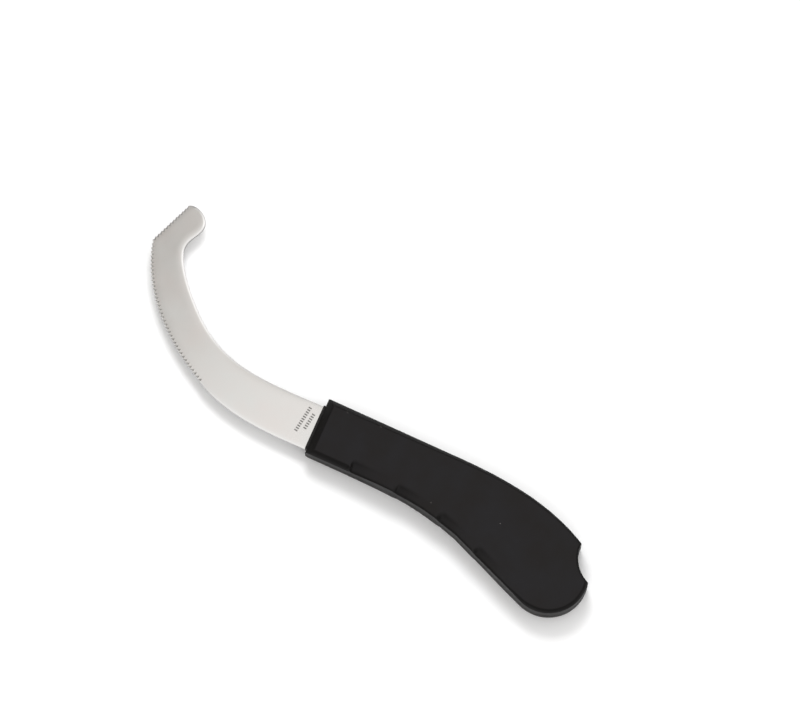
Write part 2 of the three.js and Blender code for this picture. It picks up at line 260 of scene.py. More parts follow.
# Pin steel
RING_SIZE, RING_DETAIL = 0.1, 1.0
RING_STRETCH = (0.05, 0.05, 1)
RING_ROUGHNESS = (0.32, 0.46)
RING_HEIGHT, RING_STRENGTH = 0.01, 0.5
PIN_CLOUD_SIZE = 1.5
PIN_CLOUD_ROUGHNESS = (-0.03, 0.03)
PIN_DARK = (0.50, 0.50, 0.49, 1)
PIN_LIGHT = (0.60, 0.59, 0.58, 1)

# Floor
FLOOR_HALF = 3.0  # in metres
FLOOR_CLOUD_SIZE = 60.0
FLOOR_DARK = (0.94, 0.948, 0.957, 1)
FLOOR_LIGHT = (0.945, 0.953, 0.962, 1)
FLOOR_ROUGHNESS = 0.9
FLOOR_SPECULAR = 0.1

# The plan's origin in the row frame, in millimetres, found from the CAD model's collar
COLLAR_LOW, COLLAR_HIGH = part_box("blade_collar")
PLAN_TO_ROW = Vector((
    COLLAR_LOW.x / MM + COLLAR_PROUD,
    COLLAR_LOW.y / MM - EDGE_Y,
    (COLLAR_LOW.z + COLLAR_HIGH.z) / 2 / MM,
))

Stretch = namedtuple("Stretch", "path stations")


# ---------------------------------------------------------------- outlines

def line(start, end):
    """Evenly spaced points on a straight line."""
    start, end = np.array(start, float), np.array(end, float)
    count = max(2, math.ceil(np.linalg.norm(end - start) / STEP) + 1)
    return start + np.linspace(0, 1, count)[:, None] * (end - start)


def bezier(start, aim, landing, end):
    """Points on a cubic curve from its two ends and two control points."""
    corners = [np.array(corner, float) for corner in (start, aim, landing, end)]
    count = math.ceil(np.linalg.norm(corners[3] - corners[0]) / STEP) + BEND_SPARE
    t = np.linspace(0, 1, count)[:, None]
    weights = ((1 - t) ** 3, 3 * t * (1 - t) ** 2, 3 * t ** 2 * (1 - t), t ** 3)
    return sum(weight * corner for weight, corner in zip(weights, corners))


def arc(centre, radius, start, end):
    """Points on an arc between two angles in radians."""
    count = math.ceil(abs(end - start) * radius / STEP) + ARC_SPARE
    angles = np.linspace(start, end, count)
    return np.array(centre) + radius * np.column_stack((np.cos(angles), np.sin(angles)))


def chain(start, *bends):
    """A run of cubic bends, each given as two control points and an end point."""
    path = np.array([start], float)
    for bend in bends:
        path = np.vstack((path, bezier(path[-1], *bend)[1:]))
    return path


def lengths(path):
    """How far along a path each of its points is."""
    return np.concatenate(([0], np.cumsum(np.linalg.norm(np.diff(path, axis=0), axis=1))))


def resample(path, stations):
    """Points at shares of a path's length."""
    along = lengths(path)
    at = np.array(stations) * along[-1]
    return np.column_stack([np.interp(at, along, path[:, axis]) for axis in (0, 1)])


def even(path, step=STEP):
    """Even stations along a path, without its end."""
    count = max(2, math.ceil(lengths(path)[-1] / step))
    return np.arange(count) / count


def inward(path):
    """Unit normals to the left of a path, which is inside an anticlockwise outline."""
    along = np.gradient(path, axis=0)
    along /= np.linalg.norm(along, axis=1)[:, None]
    return np.column_stack((-along[:, 1], along[:, 0]))


def cross(a, b):
    """The cross product of plane vectors."""
    return a[..., 0] * b[..., 1] - a[..., 1] * b[..., 0]


def lengthened(path):
    """A path with a straight run added at each end."""
    first = path[0] - (path[1] - path[0]) / np.linalg.norm(path[1] - path[0]) * CORNER_REACH
    last = path[-1] + (path[-1] - path[-2]) / np.linalg.norm(path[-1] - path[-2]) * CORNER_REACH
    return np.vstack((first, path, last))


def crossing(first, second):
    """Where one path's last part crosses another's first part, as a place along each, in points."""
    p, r = first[:-1, None], np.diff(first, axis=0)[:, None]
    q, s = second[None, :-1], np.diff(second, axis=0)[None]
    across = cross(r, s)
    across = np.where(np.abs(across) < PARALLEL, np.nan, across)
    t, u = cross(q - p, s) / across, cross(q - p, r) / across
    hits = np.argwhere((t > -SLACK) & (t < 1 + SLACK) & (u > -SLACK) & (u < 1 + SLACK))
    i, j = max(hits, key=lambda hit: hit[0] - hit[1])
    return i + t[i, j], j + u[i, j]


def portion(path, start, end):
    """The part of a path between two places, each given in points."""
    index = np.arange(len(path))
    inner = index[(index > start) & (index < end)]
    at = np.concatenate(([start], inner, [end]))
    return np.column_stack([np.interp(at, index, path[:, axis]) for axis in (0, 1)])


def ring(stretches, insets):
    """An outline drawn in by an inset for each stretch, with its corners trimmed and mitred."""
    moved = [
        lengthened(stretch.path + inward(stretch.path) * np.reshape(inset, (-1, 1)))
        for stretch, inset in zip(stretches, insets)
    ]
    corners = [crossing(moved[k - 1], moved[k]) for k in range(len(moved))]
    parts = []
    for k, stretch in enumerate(stretches):
        end = corners[(k + 1) % len(moved)][0]
        parts.append(resample(portion(moved[k], corners[k][1], end), stretch.stations))
    return np.vstack(parts)


def circles_meet(a, radius_a, b, radius_b):
    """Where two circles cross, on the right of the line from the first centre to the second."""
    apart = math.dist(a, b)
    along = (apart ** 2 + radius_a ** 2 - radius_b ** 2) / (2 * apart)
    aside = math.sqrt(radius_a ** 2 - along ** 2)
    ux, uy = (b[0] - a[0]) / apart, (b[1] - a[1]) / apart
    return a[0] + along * ux + aside * uy, a[1] + along * uy - aside * ux


def angle_to(centre, place):
    """The direction from a centre to a place, in radians."""
    return math.atan2(place[1] - centre[1], place[0] - centre[0])


def soft(x, rounding):
    """A ramp that is 0 below 0 and x above it, with its bend rounded."""
    bend = np.clip(x + rounding, 0, 2 * rounding) ** 2 / (4 * rounding)
    return bend + np.maximum(x - rounding, 0)


def smooth(x):
    """A ramp from 0 to 1 that starts and ends gently."""
    x = np.clip(x, 0, 1)
    return x * x * (3 - 2 * x)


# ---------------------------------------------------------------- meshes

def row_place(points):
    """Plan points, in millimetres, as points of the row frame, in metres."""
    return [(Vector(point) + PLAN_TO_ROW) * MM for point in points]


def with_height(plan, height):
    """Plan points raised to one height, or each to its own."""
    return np.column_stack((plan, np.broadcast_to(height, len(plan))))


def new_piece(name, mesh):
    piece = bpy.data.objects.new(name, mesh)
    bpy.context.scene.collection.objects.link(piece)
    return piece


def loft(name, rings):
    """A closed solid from a stack of rings with the same number of points, capped at both ends."""
    form = bmesh.new()
    rows = [[form.verts.new(place) for place in row_place(points)] for points in rings]
    for low, high in zip(rows, rows[1:]):
        for k in range(len(low)):
            form.faces.new((low[k - 1], low[k], high[k], high[k - 1]))
    form.faces.new(rows[0][::-1])
    form.faces.new(rows[-1])
    mesh = bpy.data.meshes.new(name)
    form.to_mesh(mesh)
    form.free()
    return new_piece(name, mesh)


def prism(name, plan, low, high):
    """A plan drawn out between two heights."""
    return loft(name, [with_height(plan, low), with_height(plan, high)])


def box_plan(x_low, x_high, y_low, y_high):
    return np.array(((x_low, y_low), (x_high, y_low), (x_high, y_high), (x_low, y_high)))


def circle(centre, radius):
    angles = np.arange(ROUND_STEPS) * math.tau / ROUND_STEPS
    return np.array(centre) + radius * np.column_stack((np.cos(angles), np.sin(angles)))


def joined(name, parts):
    """Several closed solids that don't touch, as one object."""
    form = bmesh.new()
    for part in parts:
        form.from_mesh(part.data)
        bpy.data.objects.remove(part)
    mesh = bpy.data.meshes.new(name)
    form.to_mesh(mesh)
    form.free()
    return new_piece(name, mesh)


def combine(piece, tool, operation):
    """Cuts a tool from a piece, or adds it, and removes the tool."""
    modifier = piece.modifiers.new(operation.lower(), "BOOLEAN")
    modifier.operation = operation
    modifier.object = tool
    modifier.solver = "EXACT"
    bpy.context.view_layer.update()
    made = piece.evaluated_get(bpy.context.evaluated_depsgraph_get())
    mesh = bpy.data.meshes.new_from_object(made)
    piece.modifiers.clear()
    piece.data = mesh
    bpy.data.objects.remove(tool)


def shade(piece, sharp_angle):
    """Smooth shading that keeps edges sharper than an angle, in degrees, and leaves flat faces flat."""
    piece.data.shade_smooth()
    piece.data.set_sharp_from_angle(angle=math.radians(sharp_angle))
    weighted = piece.modifiers.new("flat_faces_stay_flat", "WEIGHTED_NORMAL")
    weighted.keep_sharp = True


def finish_piece(piece, material, slot, *nodes):
    """Gives a piece its material and its body, and hides the CAD nodes that it stands for."""
    piece.data.materials.clear()
    piece.data.materials.append(material)
    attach(piece, "root")
    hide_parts(*nodes)


# ---------------------------------------------------------------- handle

def butt_start():
    """Where the belly's straight stretch runs into the round butt."""
    tilt = math.atan(BELLY_SLOPE)
    return (
        BUTT_CENTRE[0] + BUTT_RADIUS * math.sin(tilt),
        BUTT_CENTRE[1] - BUTT_RADIUS * math.cos(tilt),
    )


def handle_outline():
    """The belly with the butt, the notch, the back and the mouth, anticlockwise."""
    end = butt_start()
    bend_end = (BELLY_BEND_END_X, end[1] + BELLY_SLOPE * (BELLY_BEND_END_X - end[0]))
    lower_horn = circles_meet(BUTT_CENTRE, BUTT_RADIUS, NOTCH_CENTRE, NOTCH_RADIUS)
    butt = arc(BUTT_CENTRE, BUTT_RADIUS, angle_to(BUTT_CENTRE, end), angle_to(BUTT_CENTRE, lower_horn))
    belly = np.vstack((
        line(BELLY_MOUTH, BELLY_STRAIGHT_END),
        bezier(BELLY_STRAIGHT_END, *BELLY_BEND, bend_end)[1:],
        line(bend_end, end)[1:],
        butt[1:],
    ))
    notch_ends = [angle_to(NOTCH_CENTRE, horn) % math.tau for horn in (lower_horn, UPPER_HORN)]
    notch = arc(NOTCH_CENTRE, NOTCH_RADIUS, *notch_ends)
    back = np.vstack((
        bezier(notch[-1], BACK_BEND[1], BACK_BEND[0], BACK_STRAIGHT_END),
        line(BACK_STRAIGHT_END, BACK_MOUTH)[1:],
    ))
    mouth = line(BACK_MOUTH, BELLY_MOUTH)
    return [Stretch(path, even(path)) for path in (belly, notch, back, mouth)]


def along_stretch(stretch, table):
    """A value at each point of a stretch's path, from a table of values at distances along it."""
    places, values = zip(*table)
    return np.interp(lengths(stretch.path), places, values)


def scoop_drop(along, inset):
    """How deep the finger scoops are at a distance along the belly and an inset from it."""
    drop = np.zeros(len(along))
    ends = [start for start, *_ in SCOOPS[1:]] + [SCOOP_END]
    for (start, reach, depth, front), end in zip(SCOOPS, ends):
        rise = smooth((along - start) / front)
        fade = np.clip((end - along) / (end - start), 0, 1) ** SCOOP_FADE
        inner = np.clip(1 - inset / reach, 0, 1) ** SCOOP_ROLL
        here = (along > start) & (along < end)
        drop += np.where(here, depth * rise * fade * inner, 0)
    return drop


def nearest(points, path):
    """For each point, the index of the nearest point of a path and the distance to it."""
    apart = np.linalg.norm(points[:, None] - path[None], axis=2)
    index = apart.argmin(axis=1)
    return index, apart[np.arange(len(points)), index]


def chamfer_drop(points, stretches, chamfers):
    """How far the chamfer round the handle's face drops below it."""
    drop = np.zeros(len(points))
    for stretch, chamfer in zip(stretches, chamfers):
        index, inset = nearest(points, stretch.path)
        drop = np.maximum(drop, soft(chamfer[index] - inset, EDGE_ROUNDING))
    return drop


def handle_height(points, stretches, chamfers):
    """The height of the handle's face above the parting plane: flat, chamfered round it, and scooped."""
    belly = stretches[0].path
    index, inset = nearest(points, belly)
    scooped = scoop_drop(lengths(belly)[index], inset)
    return HANDLE_HALF - chamfer_drop(points, stretches, chamfers) - scooped


def shell_rings(stretches):
    """The rings of one shell's outside, from the parting plane to the flat of its face."""
    tables = (BELLY_CHAMFER, NOTCH_CHAMFER, BACK_CHAMFER, MOUTH_CHAMFER)
    chamfers = [along_stretch(stretch, table) for stretch, table in zip(stretches, tables)]
    steps = [along_stretch(stretches[0], SCOOP_ROW_STEPS)] + [PLAIN_ROW_STEP] * 3
    outline = ring(stretches, [0.0] * 4)
    edge = handle_height(outline, stretches, chamfers)
    corners = [np.minimum(CORNER_SHARE * chamfer, CORNER_LIMIT) for chamfer in chamfers]
    corner = np.minimum(CORNER_SHARE * chamfer_drop(outline, stretches, chamfers), CORNER_LIMIT)
    rings = [
        with_height(ring(stretches, [SEAM_DEPTH] * 4), SEAM_GAP),
        with_height(outline, SEAM_GAP + SEAM_HEIGHT),
        with_height(outline, edge - corner),
    ]
    for inset, rise in CORNER_ROWS:
        points = ring(stretches, [inset * radius for radius in corners])
        rings.append(with_height(points, edge + rise * corner))
    insets = [[share * c + more for c in chamfers] for share, more in CHAMFER_ROWS]
    for row in range(1, 1 + SCOOP_ROWS):
        insets.append([c + EDGE_ROUNDING + step * row for c, step in zip(chamfers, steps)])
    for inset in insets:
        points = ring(stretches, inset)
        rings.append(with_height(points, handle_height(points, stretches, chamfers)))
    rings[-1][:, 2] = HANDLE_HALF
    return rings


def clip(plan, x_low, x_high):
    """The part of a plan between two values of x."""
    for limit, side in ((x_low, 1), (x_high, -1)):
        kept = []
        for start, end in zip(plan, np.roll(plan, -1, axis=0)):
            inside, next_inside = side * (start[0] - limit) >= 0, side * (end[0] - limit) >= 0
            if inside:
                kept.append(start)
            if inside != next_inside:
                share = (limit - start[0]) / (end[0] - start[0])
                kept.append(start + share * (end - start))
        plan = np.array(kept)
    return plan


def rooms(stretches):
    """The hollows between the cross ribs."""
    inside = ring(stretches, [WALL] * 4)
    ribs = sorted((*PINS.values(), *RIB_STATIONS))
    starts = [-REACH] + [x + RIB_THICKNESS / 2 for x in ribs]
    ends = [x - RIB_THICKNESS / 2 for x in ribs] + [REACH]
    top = HANDLE_HALF - SKIN
    return joined("rooms", [
        prism("room", clip(inside, start, end), -PAST_PLANE, top) for start, end in zip(starts, ends)
    ])


def posts(name, extra, low, high):
    """Cylinders round the pins and the dowel, wider than them by an extra radius."""
    parts = [prism(name, circle((x, TANG_Y), PIN_RADIUS + extra), low, high) for x in PINS.values()]
    parts.append(prism(name, circle(DOWEL_CENTRE, DOWEL_RADIUS + extra), low, high))
    return joined(name, parts)


def upper_shell(stretches):
    """The upper half of the handle: its moulding, hollowed, with its ribs, bosses and pockets."""
    shell = loft("shell_upper_moulding", shell_rings(stretches))
    top = HANDLE_HALF - SKIN
    tang_half = TANG_HALF_WIDTH + CLEARANCE
    tang = box_plan(-REACH, TANG_END_X + CLEARANCE, TANG_Y - tang_half, TANG_Y + tang_half)
    mouth = box_plan(-REACH, COLLAR_DEPTH + CLEARANCE, EDGE_Y - TIGHT, SPINE_Y + TIGHT)
    combine(shell, rooms(stretches), "DIFFERENCE")
    combine(shell, posts("bosses", BOSS_WALL, 2 * SEAM_GAP, top + ROOTED), "UNION")
    combine(shell, prism("tang_pocket", tang, -PAST_PLANE, BLADE_HALF + CLEARANCE), "DIFFERENCE")
    combine(shell, prism("mouth_pocket", mouth, -PAST_PLANE, COLLAR_HALF + TIGHT), "DIFFERENCE")
    combine(shell, posts("sockets", CLEARANCE, -PAST_PLANE, PIN_HALF + CLEARANCE), "DIFFERENCE")
    return shell


def mirrored(name, piece):
    """A copy of a piece, mirrored in the parting plane."""
    copy = new_piece(name, piece.data.copy())
    plane = PLAN_TO_ROW.z * MM
    flip = Matrix.Translation((0, 0, 2 * plane)) @ Matrix.Diagonal((1, 1, -1, 1))
    copy.data.transform(flip)
    copy.data.flip_normals()
    return copy


# ---------------------------------------------------------------- blade

def blade_outline():
    """The root, the spine with the nose, the front edge and the convex edge, anticlockwise."""
    root = line((SHOULDER_X, EDGE_Y), (SHOULDER_X, SPINE_Y))
    edge = chain((SHOULDER_X, EDGE_Y), EDGE_ROOT_BEND, EDGE_HOOK_BEND)[::-1]
    front = line(NOSE_CORNER, HOOK_CORNER)
    bends = (NOSE_TOP_BEND, NOSE_SIDE_BEND, NECK_BEND, SPINE_HOOK_BEND, SPINE_ROOT_BEND)
    spine = chain(NOSE_CORNER, *bends)[::-1]
    toothed = CURVE_TEETH * TOOTH_PITCH / lengths(edge)[-1]
    teeth = np.arange(CURVE_TEETH * TOOTH_STEPS) / (CURVE_TEETH * TOOTH_STEPS) * toothed
    plain = toothed + (1 - toothed) * even(edge)
    front_teeth = np.arange(FRONT_TEETH * TOOTH_STEPS) / (FRONT_TEETH * TOOTH_STEPS)
    return [
        Stretch(root, even(root, 2 * STEP)),
        Stretch(spine, even(spine)),
        Stretch(front, front_teeth),
        Stretch(edge, np.concatenate((teeth, plain))),
    ]


def tooth_pattern():
    """The depth of one gullet at each point along it, as a share of the deepest."""
    root = round(TOOTH_ROOT * TOOTH_STEPS)
    return np.interp(np.arange(TOOTH_STEPS), (0, TOOTH_STEPS - root, TOOTH_STEPS), (0, 1, 0))


def front_share(distance):
    """How far the convex edge has the front edge's form, by the distance from their corner."""
    return smooth(1 - distance / FRONT_ROLL_CHANGE)


def spine_share(distance):
    """How far the rim has the spine's form, by the distance from the nose's corner."""
    return smooth(distance / NOSE_FADE)


def blade_points(stretches):
    """For each point of a ring: the spine's share of its form, its roll-off's width, its gullet's size."""
    root, spine, front, edge = stretches
    teeth = tooth_pattern()
    plain = len(edge.stations) - CURVE_TEETH * TOOTH_STEPS
    near_front = front_share(edge.stations * lengths(edge.path)[-1])
    from_nose = (1 - spine.stations) * lengths(spine.path)[-1]
    straight = np.ones(len(front.stations))
    spined = np.concatenate((
        np.linspace(0, 1, len(root.stations)), spine_share(from_nose), 0 * straight, 0 * near_front,
    ))
    width = np.concatenate((
        np.full(len(root.stations), EDGE_ROLL_WIDTH),
        np.full(len(spine.stations), FRONT_ROLL_WIDTH),
        FRONT_ROLL_WIDTH * straight,
        EDGE_ROLL_WIDTH + (FRONT_ROLL_WIDTH - EDGE_ROLL_WIDTH) * near_front,
    ))
    along_curve = 1 + (FRONT_TEETH_SHARE - 1) * near_front
    gullet = np.concatenate((
        np.zeros(len(root.stations) + len(spine.stations)),
        FRONT_TEETH_SHARE * np.tile(teeth, FRONT_TEETH),
        along_curve * np.concatenate((np.tile(teeth, CURVE_TEETH), np.zeros(plain))),
    ))
    return spined, width, gullet


def blade_insets(stretches, level):
    """Insets for one ring of the blade, before its gullets are cut."""
    root, spine, front, edge = stretches

    def cutting(width):
        return (0 * width, EDGE_STRIP + 0 * width, *[part * width for part in ROW_PARTS])[level]

    near_front = front_share(lengths(edge.path))
    from_nose = lengths(spine.path)[-1] - lengths(spine.path)
    at_front = cutting(FRONT_ROLL_WIDTH)
    return [
        ROOT_STEP * level,
        at_front + (SPINE_ROWS[level] - at_front) * spine_share(from_nose),
        at_front,
        cutting(EDGE_ROLL_WIDTH + (FRONT_ROLL_WIDTH - EDGE_ROLL_WIDTH) * near_front),
    ]


def rolled(inset, width, drop):
    """The height of the blade's face at an inset, with its roll-off's width and drop."""
    return BLADE_HALF - drop * np.clip(1 - inset / width, 0, 1) ** 2


def blade_rings(stretches):
    """The rings of the blade's upper and lower sides, each from the rim to the flat."""
    spined, width, gullet = blade_points(stretches)
    upper, lower = [], []
    for level, spine_inset in enumerate(SPINE_ROWS):
        plan = ring(stretches, blade_insets(stretches, level))
        inset = (0, EDGE_STRIP, *[part * width for part in ROW_PARTS])[level]
        cut = gullet * (TOOTH_DEPTH, GULLET_REACH, 0)[min(level, 2)]
        normal = inward(np.vstack((plan[-1:], plan, plan[:1])))[1:-1]
        plan = plan + normal * cut[:, None]
        inset = inset + cut
        ground = GRIND_RISE * np.clip(1 - inset / width, 0, 1) - BLADE_HALF
        if level == 0:
            ground = ground - GULLET_DIP * gullet
        face = ground + EDGE_LAND if level == 0 else rolled(inset, width, EDGE_DROP)
        corner = SPINE_CORNER - math.sqrt(SPINE_CORNER ** 2 - max(0, SPINE_CORNER - spine_inset) ** 2)
        spine_face = rolled(spine_inset, SPINE_ROLL_WIDTH, SPINE_DROP) - corner
        upper.append(with_height(plan, face + (spine_face - face) * spined))
        lower.append(with_height(plan, ground + (-spine_face - ground) * spined))
    upper[-1][:, 2] = BLADE_HALF
    lower[-1][:, 2] = -BLADE_HALF
    return upper, lower


def tang_plan():
    """The tang's outline, with its rear corners cut."""
    low, high = TANG_Y - TANG_HALF_WIDTH, TANG_Y + TANG_HALF_WIDTH
    start = SHOULDER_X - TANG_OVERLAP
    return np.array((
        (start, low), (TANG_END_X - TANG_CORNER, low), (TANG_END_X, low + TANG_CORNER),
        (TANG_END_X, high - TANG_CORNER), (TANG_END_X - TANG_CORNER, high), (start, high),
    ))


def blade():
    """The blade with its ground edges and teeth, and its tang with a hole for each pin."""
    upper, lower = blade_rings(blade_outline())
    piece = loft("blade_stamping", lower[::-1] + upper)
    combine(piece, prism("tang", tang_plan(), -TANG_HALF, TANG_HALF), "UNION")
    holes = []
    for x in PINS.values():
        holes.append(prism("hole", circle((x, TANG_Y), PIN_RADIUS + CLEARANCE), -PAST_TANG, PAST_TANG))
    combine(piece, joined("holes", holes), "DIFFERENCE")
    return piece


# ---------------------------------------------------------------- collar, pins and dowel

def rounded_box(half_width, half_height, radius):
    """A rounded rectangle about the origin, anticlockwise."""
    quarter = math.pi / 2
    corners = ((1, -1, -quarter), (1, 1, 0), (-1, 1, quarter), (-1, -1, 2 * quarter))
    parts = []
    for x, y, start in corners:
        angles = np.linspace(start, start + quarter, COLLAR_CORNER_POINTS)
        centre = np.array((x * (half_width - radius), y * (half_height - radius)))
        parts.append(centre + radius * np.column_stack((np.cos(angles), np.sin(angles))))
    return np.vstack(parts)


def collar():
    """The block that closes the handle's mouth, with softened ends and a slot for the tang."""
    half = (SPINE_Y - EDGE_Y) / 2
    middle = (SPINE_Y + EDGE_Y) / 2
    ends = [(along * COLLAR_EDGE, inset * COLLAR_EDGE) for along, inset in COLLAR_EDGE_ROWS]
    stations = [(-COLLAR_PROUD + along, inset) for along, inset in ends]
    stations += [(COLLAR_DEPTH - along, inset) for along, inset in ends[::-1]]
    rings = []
    for x, inset in stations:
        section = rounded_box(half - inset, COLLAR_HALF - inset, COLLAR_CORNER)
        rings.append(np.column_stack((np.full(len(section), x), section[:, 0] + middle, section[:, 1])))
    piece = loft("collar_moulding", rings)
    slot_half = TANG_HALF_WIDTH + TIGHT
    slot = box_plan(-REACH, REACH, TANG_Y - slot_half, TANG_Y + slot_half)
    combine(piece, prism("slot", slot, -BLADE_HALF - TIGHT, BLADE_HALF + TIGHT), "DIFFERENCE")
    return piece


def turned_pin(name, centre, radius):
    """A pin with chamfered ends."""
    profile = (
        (radius - PIN_CHAMFER, -PIN_HALF), (radius, -PIN_HALF + PIN_CHAMFER),
        (radius, PIN_HALF - PIN_CHAMFER), (radius - PIN_CHAMFER, PIN_HALF),
    )
    return loft(name, [with_height(circle(centre, r), z) for r, z in profile])


# ---------------------------------------------------------------- materials

class Nodes:
    """A material's node tree, with short ways to add and join nodes."""

    def __init__(self, name):
        self.material = bpy.data.materials.new(name)
        self.material.use_nodes = True
        self.tree = self.material.node_tree
        self.shader = self.tree.nodes["Principled BSDF"]
        coordinates = self.add("ShaderNodeTexCoord")
        self.place = coordinates.outputs["Object"]
        self.normal = coordinates.outputs["Normal"]

    def add(self, kind, **settings):
        node = self.tree.nodes.new(kind)
        for key, value in settings.items():
            setattr(node, key, value)
        return node

    def feed(self, socket, value):
        """Joins an output to a socket, or sets the socket's own value."""
        if isinstance(value, bpy.types.NodeSocket):
            self.tree.links.new(value, socket)
        else:
            socket.default_value = value

    def math(self, operation, first, second=0.0, clamp=False):
        """The result of arithmetic on outputs or numbers."""
        node = self.add("ShaderNodeMath", operation=operation, use_clamp=clamp)
        self.feed(node.inputs[0], first)
        self.feed(node.inputs[1], second)
        return node.outputs[0]

    def mapped(self, scale, turn=0.0):
        """The place on the piece, stretched and turned about the vertical."""
        node = self.add("ShaderNodeMapping")
        self.feed(node.inputs["Vector"], self.place)
        node.inputs["Scale"].default_value = scale
        node.inputs["Rotation"].default_value = (0, 0, turn)
        return node.outputs[0]

    def noise(self, size, detail=3.0, vector=None):
        """Noise with features of a size in millimetres."""
        node = self.add("ShaderNodeTexNoise")
        self.feed(node.inputs["Vector"], vector or self.place)
        node.inputs["Scale"].default_value = 1 / (size * MM)
        node.inputs["Detail"].default_value = detail
        return node.outputs["Fac"]

    def between(self, value, low, high, from_low=NOISE_LOW, from_high=NOISE_HIGH):
        """Maps a value's range to another one."""
        node = self.add("ShaderNodeMapRange")
        self.feed(node.inputs["Value"], value)
        limits = {"From Min": from_low, "From Max": from_high, "To Min": low, "To Max": high}
        for key, number in limits.items():
            node.inputs[key].default_value = number
        return node.outputs[0]

    def mix(self, factor, first, second):
        """A blend of two colours."""
        node = self.add("ShaderNodeMix", data_type="RGBA")
        self.feed(node.inputs["Factor"], factor)
        self.feed(node.inputs["A"], first)
        self.feed(node.inputs["B"], second)
        return node.outputs["Result"]

    def multiplied(self, first, second):
        """One colour tinted by another."""
        node = self.add("ShaderNodeMix", data_type="RGBA", blend_type="MULTIPLY")
        node.inputs["Factor"].default_value = 1
        self.feed(node.inputs["A"], first)
        self.feed(node.inputs["B"], second)
        return node.outputs["Result"]

    def bump(self, height, distance, below=None, strength=1.0):
        """A normal tipped by a relief of a height in millimetres, on top of another normal."""
        node = self.add("ShaderNodeBump")
        self.feed(node.inputs["Height"], height)
        node.inputs["Distance"].default_value = distance * MM
        node.inputs["Strength"].default_value = strength
        if below is not None:
            self.feed(node.inputs["Normal"], below)
        return node.outputs[0]

    def worn_and_highlit_edges(self):
        """1 on convex edges and 0 elsewhere."""
        return self.between(self.add("ShaderNodeNewGeometry").outputs["Pointiness"], 0, 1, *CONVEX)

    def tilted(self, low, high):
        """0 where the surface lies flatter than one angle and 1 where it is steeper than another."""
        parts = self.add("ShaderNodeSeparateXYZ")
        self.feed(parts.inputs[0], self.normal)
        level = self.math("ABSOLUTE", parts.outputs[2])
        return self.between(level, 1, 0, math.cos(high), math.cos(low))

    def set(self, **inputs):
        """Feeds the shader's inputs, and gives the finished material."""
        for key, value in inputs.items():
            self.feed(self.shader.inputs[key.replace("_", " ")], value)
        return self.material


def dust(nodes):
    """1 on a few small specks and 0 elsewhere."""
    cells = nodes.add("ShaderNodeTexVoronoi", feature="F1")
    nodes.feed(cells.inputs["Vector"], nodes.place)
    cells.inputs["Scale"].default_value = 1 / (SPECK_SPACING * MM)
    chosen = nodes.add("ShaderNodeSeparateColor")
    nodes.feed(chosen.inputs[0], cells.outputs["Color"])
    speck = nodes.math("LESS_THAN", cells.outputs["Distance"], SPECK_RADIUS)
    return nodes.math("MULTIPLY", speck, nodes.math("GREATER_THAN", chosen.outputs[0], SPECK_RARITY))


def plastic(name, dark, light, roughness, grain):
    """Moulded black plastic: faint mottling, painted shade on its steep sides, convex edges lighter from
    rubbing and a painted highlight, a few dust specks and grain.
    """
    nodes = Nodes(name)
    mottle = nodes.noise(MOTTLE_SIZE, MOTTLE_DETAIL)
    colour = nodes.mix(nodes.between(mottle, 0, 1), dark, light)
    # painted shade: steep faces are coloured blacker than flat ones
    colour = nodes.mix(nodes.tilted(*SHADED_SIDE_ANGLES), colour, PAINTED_SHADE_PLASTIC)
    # lighter convex edges: partly rubbing wear, partly a painted highlight
    rub_and_highlight = nodes.between(nodes.noise(RUB_AND_HIGHLIGHT_SIZE), *RUB_AND_HIGHLIGHT_SHARES)
    colour = nodes.mix(nodes.math("MULTIPLY", nodes.worn_and_highlit_edges(), rub_and_highlight), colour, RUBBED_AND_HIGHLIT_PLASTIC)
    colour = nodes.mix(dust(nodes), colour, SPECK_DUST)
    grains = nodes.noise(GRAIN_SIZE, GRAIN_DETAIL)
    normal = nodes.bump(nodes.noise(WAVE_SIZE, WAVE_DETAIL), WAVE_HEIGHT, strength=WAVE_STRENGTH)
    normal = nodes.bump(grains, grain, normal, strength=GRAIN_STRENGTH)
    rough = nodes.math(
        "ADD", nodes.between(mottle, *MOTTLE_ROUGHNESS), nodes.between(grains, *GRAIN_ROUGHNESS),
    )
    return nodes.set(
        Base_Color=colour, Roughness=nodes.math("ADD", rough, roughness), Normal=normal,
        Specular_IOR_Level=PLASTIC_SPECULAR,
    )


def stroke_rows(nodes, rows):
    """1 on rows of short plain strokes that stand in for an etched mark, and 0 elsewhere."""
    marks = 0.0
    for centre, strokes in rows:
        half_length = (strokes - 1 + STROKE_SHARE) * STROKE_PITCH / 2
        x, y = [(value + offset) * MM for value, offset in zip(centre, PLAN_TO_ROW)]
        moved = nodes.add("ShaderNodeMapping", vector_type="TEXTURE")
        nodes.feed(moved.inputs["Vector"], nodes.place)
        moved.inputs["Location"].default_value = (x, y, 0)
        moved.inputs["Rotation"].default_value = (0, 0, MARK_TURN)
        parts = nodes.add("ShaderNodeSeparateXYZ")
        nodes.feed(parts.inputs[0], moved.outputs[0])
        across = nodes.math("LESS_THAN", nodes.math("ABSOLUTE", parts.outputs[0]), STROKE_HALF * MM)
        along = nodes.math("LESS_THAN", nodes.math("ABSOLUTE", parts.outputs[1]), half_length * MM)
        from_start = nodes.math("ADD", parts.outputs[1], half_length * MM)
        beat = nodes.math("FRACT", nodes.math("DIVIDE", from_start, STROKE_PITCH * MM))
        stroke = nodes.math("LESS_THAN", beat, STROKE_SHARE)
        row = nodes.math("MULTIPLY", nodes.math("MULTIPLY", across, along), stroke)
        marks = nodes.math("ADD", row, marks, clamp=True)
    return marks


